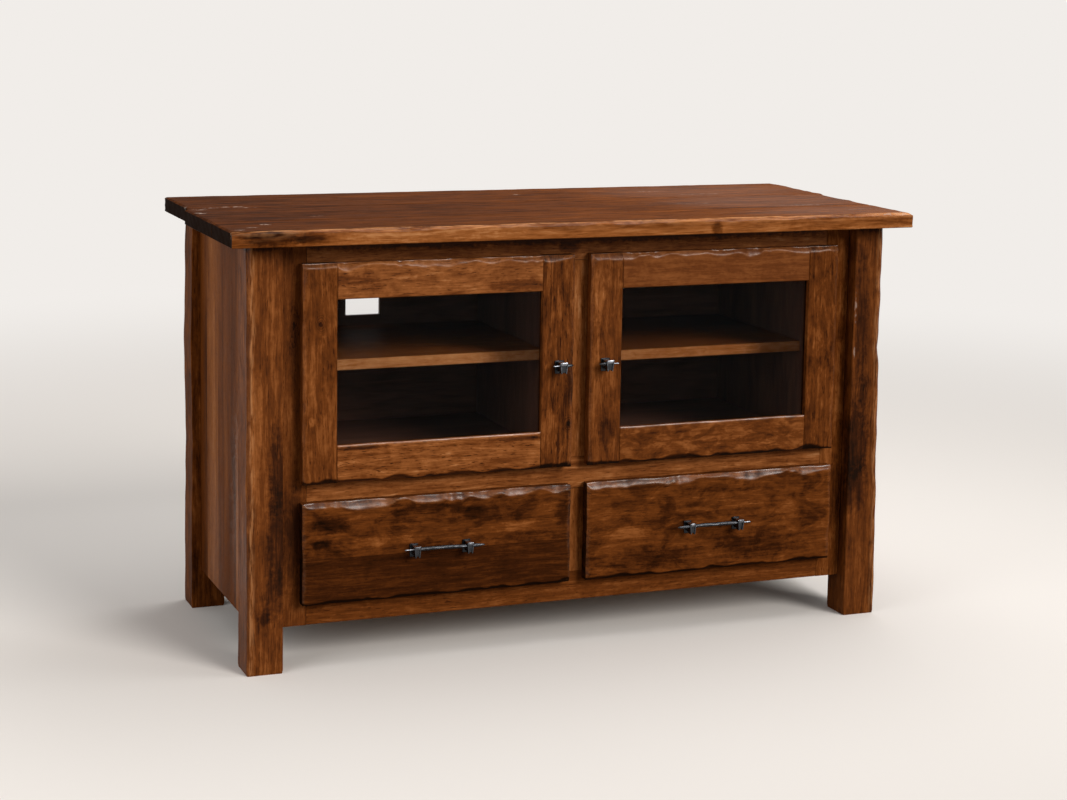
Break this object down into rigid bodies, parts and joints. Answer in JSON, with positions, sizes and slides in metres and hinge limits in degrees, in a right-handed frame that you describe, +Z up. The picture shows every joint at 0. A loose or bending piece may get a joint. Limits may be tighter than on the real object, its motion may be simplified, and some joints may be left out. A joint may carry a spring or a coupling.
{
  "type": "media stand",
  "caption": "Rustic plank-top media stand on hewn corner posts, with framed glass doors that swing over shelved bays and dovetailed drawers that slide out below.",
  "frame": {"origin": "middle of the bounding box in plan, on the floor", "axes": "+X to the right seen from the front, along the length; +Y from the front to the back; +Z up"},
  "size_m": [1.2756, 0.566, 0.762],
  "materials": {
    "stained_wood": "dark stained, hewn edges, satin lacquer",
    "interior_wood": "dark stained, dull",
    "drawer_wood": "bare maple, sanded",
    "door_glass": "clear",
    "forged_iron": "aged pewter, hammered",
    "plated_steel": "nickel plated"
  },
  "bodies": {
    "case": {"back_panel": "interior_wood", "bay_floor_left": "interior_wood", "bay_floor_right": "interior_wood", "centre_partition": "interior_wood", "centre_stile_lower": "stained_wood", "centre_stile_upper": "stained_wood", "frame_bottom_rail": "stained_wood", "frame_mid_rail": "stained_wood", "frame_stile_left": "stained_wood", "frame_stile_right": "stained_wood", "frame_top_rail": "stained_wood", "hinge_arm_left_lower": "plated_steel", "hinge_arm_left_upper": "plated_steel", "hinge_arm_right_lower": "plated_steel", "hinge_arm_right_upper": "plated_steel", "liner_left": "interior_wood", "liner_right": "interior_wood", "post_back_left": "stained_wood", "post_back_right": "stained_wood", "post_front_left": "stained_wood", "post_front_right": "stained_wood", "runner_left_inner": "drawer_wood", "runner_left_outer": "drawer_wood", "runner_right_inner": "drawer_wood", "runner_right_outer": "drawer_wood", "shelf_left": "stained_wood", "shelf_right": "stained_wood", "side_panel_left": "stained_wood", "side_panel_right": "stained_wood", "top_board_back": "stained_wood", "top_board_front": "stained_wood", "top_board_middle": "stained_wood"},
    "door_left": {"door_left_bottom_rail": "stained_wood", "door_left_glass": "door_glass", "door_left_inner_stile": "stained_wood", "door_left_knob": "forged_iron", "door_left_outer_stile": "stained_wood", "door_left_top_rail": "stained_wood", "hinge_cup_left_lower": "plated_steel", "hinge_cup_left_upper": "plated_steel"},
    "door_right": {"door_right_bottom_rail": "stained_wood", "door_right_glass": "door_glass", "door_right_inner_stile": "stained_wood", "door_right_knob": "forged_iron", "door_right_outer_stile": "stained_wood", "door_right_top_rail": "stained_wood", "hinge_cup_right_lower": "plated_steel", "hinge_cup_right_upper": "plated_steel"},
    "drawer_left": {"drawer_left_back": "drawer_wood", "drawer_left_bottom": "drawer_wood", "drawer_left_front": "stained_wood", "drawer_left_inner_side": "drawer_wood", "drawer_left_outer_side": "drawer_wood", "drawer_left_pull": "forged_iron"},
    "drawer_right": {"drawer_right_back": "drawer_wood", "drawer_right_bottom": "drawer_wood", "drawer_right_front": "stained_wood", "drawer_right_inner_side": "drawer_wood", "drawer_right_outer_side": "drawer_wood", "drawer_right_pull": "forged_iron"}
  },
  "joints": [
    {"name": "left_door_hinge", "type": "hinge", "parent": "case", "child": "door_left", "pos_m": [-0.49841, -0.22128, 0.51075], "axis": [0, 0, -1], "range_deg": [0, 100]},
    {"name": "right_door_hinge", "type": "hinge", "parent": "case", "child": "door_right", "pos_m": [0.49859, -0.22128, 0.51075], "axis": [0, 0, 1], "range_deg": [0, 100]},
    {"name": "left_drawer_slide", "type": "slide", "parent": "case", "child": "drawer_left", "axis": [0, -1, 0], "range_m": [0, 0.3]},
    {"name": "right_drawer_slide", "type": "slide", "parent": "case", "child": "drawer_right", "axis": [0, -1, 0], "range_m": [0, 0.3]}
  ]
}
